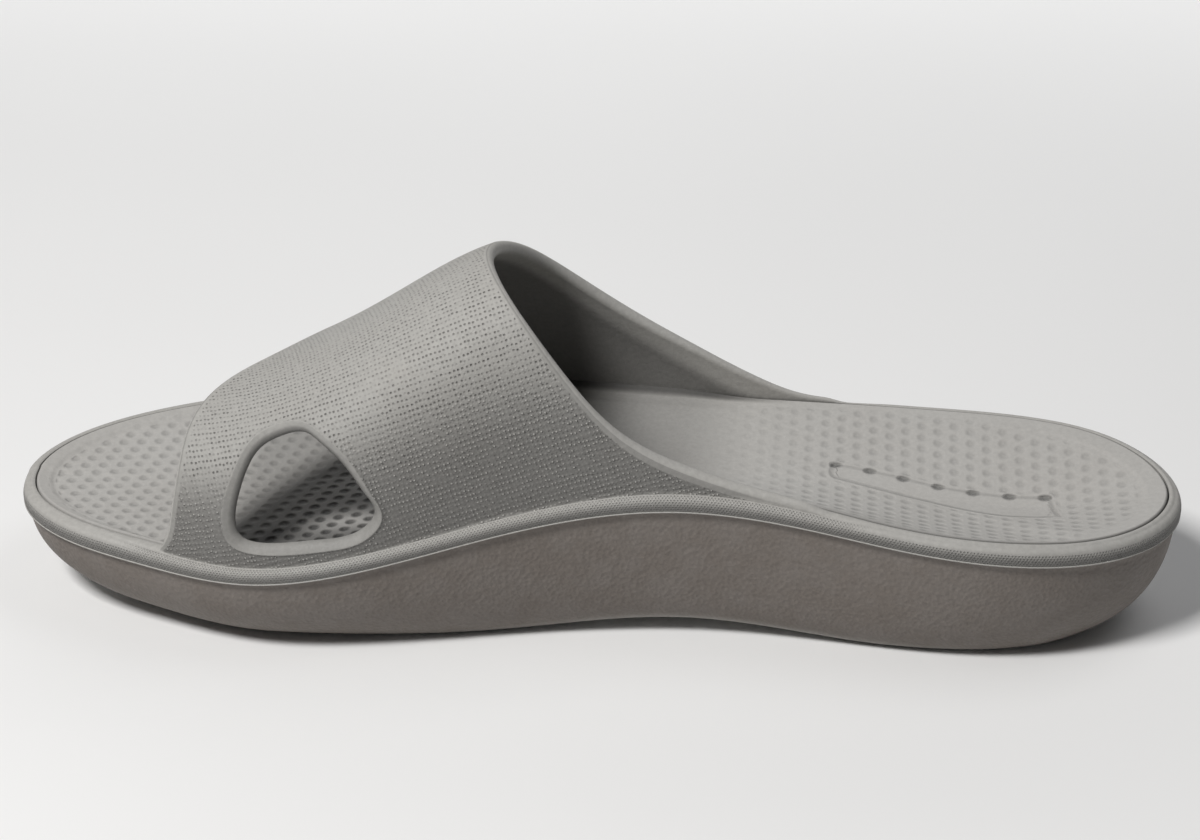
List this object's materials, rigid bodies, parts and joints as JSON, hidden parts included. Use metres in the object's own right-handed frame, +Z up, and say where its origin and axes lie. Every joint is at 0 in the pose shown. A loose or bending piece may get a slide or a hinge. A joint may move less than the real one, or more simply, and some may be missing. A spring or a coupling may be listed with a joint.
{
  "type": "slide sandal",
  "caption": "Moulded foam slide sandal for the right foot: thick cupped sole with a beaded rim, one wide closed strap with a rounded side hole, and a hollowed footbed.",
  "frame": {"origin": "on the floor under the middle of the shoe's plan outline", "axes": "+X towards the toe, +Y towards the inner side of the right foot, +Z up"},
  "size_m": [0.2797, 0.1045, 0.0879],
  "materials": {
    "moulded_foam": "matte grey moulded foam, fine grain on the side of the sole, pinholed knit pattern on the strap",
    "footbed_foam": "matte grey moulded foam with rows of shallow dimples"
  },
  "bodies": {
    "root": {"slide_body": "moulded_foam", "footbed": "footbed_foam"}
  },
  "joints": []
}
